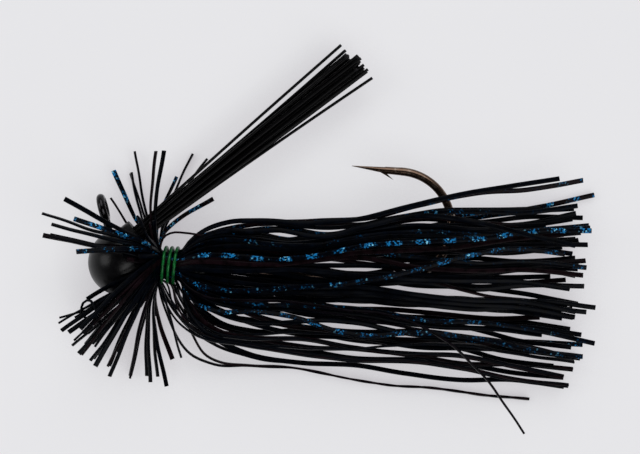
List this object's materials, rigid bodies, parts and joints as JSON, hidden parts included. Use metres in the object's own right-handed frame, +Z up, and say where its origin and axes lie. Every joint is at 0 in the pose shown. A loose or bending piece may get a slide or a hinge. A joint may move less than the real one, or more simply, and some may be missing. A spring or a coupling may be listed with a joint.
{
  "type": "skirted jig",
  "caption": "Fishing jig: round painted lead head cast on a bronzed hook, bristle weed guard on a springy root, and a wire-tied skirt of silicone strands.",
  "frame": {"origin": "centre of the hook's eye, where the line is tied", "axes": "+X along the shank from the head to the tail, +Y from the shank to the hook's point, +Z up from the side it lies on"},
  "size_m": [0.0895, 0.0605, 0.0176],
  "materials": {
    "head_paint": "gloss black powder paint over cast lead",
    "hook_bronze": "dark bronzed steel wire, black at the eye",
    "guard_glue": "clear amber glue",
    "guard_foot": "fused black nylon",
    "guard_bristles": "satin black nylon",
    "tie_wire": "green lacquered copper wire",
    "skirt_black": "satin black silicone",
    "skirt_flake": "black silicone with dashes of blue flake"
  },
  "bodies": {
    "jig": {"head_casting": "head_paint", "hook": "hook_bronze", "guard_glue": "guard_glue", "guard_plug": "guard_foot", "tie_wire": "tie_wire", "skirt_strand_01": "skirt_black", "skirt_strand_02": "skirt_black", "skirt_strand_03": "skirt_black", "skirt_strand_04": "skirt_black", "skirt_strand_05": "skirt_black", "skirt_strand_06": "skirt_black", "skirt_strand_07": "skirt_black", "skirt_strand_08": "skirt_flake", "skirt_strand_09": "skirt_flake", "skirt_strand_10": "skirt_flake", "skirt_strand_11": "skirt_black", "skirt_strand_12": "skirt_flake", "skirt_strand_13": "skirt_black", "skirt_strand_14": "skirt_flake", "skirt_strand_15": "skirt_black", "skirt_strand_16": "skirt_black", "skirt_strand_17": "skirt_black", "skirt_strand_18": "skirt_black", "skirt_strand_19": "skirt_flake", "skirt_strand_20": "skirt_flake", "skirt_strand_21": "skirt_black", "skirt_strand_22": "skirt_black", "skirt_strand_23": "skirt_flake", "skirt_strand_24": "skirt_black", "skirt_strand_25": "skirt_flake", "skirt_strand_26": "skirt_black", "skirt_strand_27": "skirt_black", "skirt_strand_28": "skirt_flake", "skirt_strand_29": "skirt_black", "skirt_strand_30": "skirt_black", "skirt_strand_31": "skirt_black", "skirt_strand_32": "skirt_black", "skirt_strand_33": "skirt_black", "skirt_strand_34": "skirt_flake", "skirt_strand_35": "skirt_black", "skirt_strand_36": "skirt_black", "skirt_strand_37": "skirt_black", "skirt_strand_38": "skirt_black", "skirt_strand_39": "skirt_flake", "skirt_strand_40": "skirt_black", "skirt_strand_41": "skirt_black", "skirt_strand_42": "skirt_flake", "skirt_strand_43": "skirt_black", "skirt_strand_44": "skirt_black", "skirt_strand_45": "skirt_black", "skirt_strand_46": "skirt_black", "skirt_strand_47": "skirt_black", "skirt_strand_48": "skirt_black", "skirt_strand_49": "skirt_black", "skirt_strand_50": "skirt_black"},
    "guard": {"weed_guard": "guard_bristles"}
  },
  "joints": [
    {"name": "guard_flex", "type": "hinge", "parent": "jig", "child": "guard", "pos_m": [0.00666, -0.0031, 0], "axis": [0, 0, 1], "range_deg": [-15, 30], "stiffness_Nm_per_rad": 0.02}
  ]
}
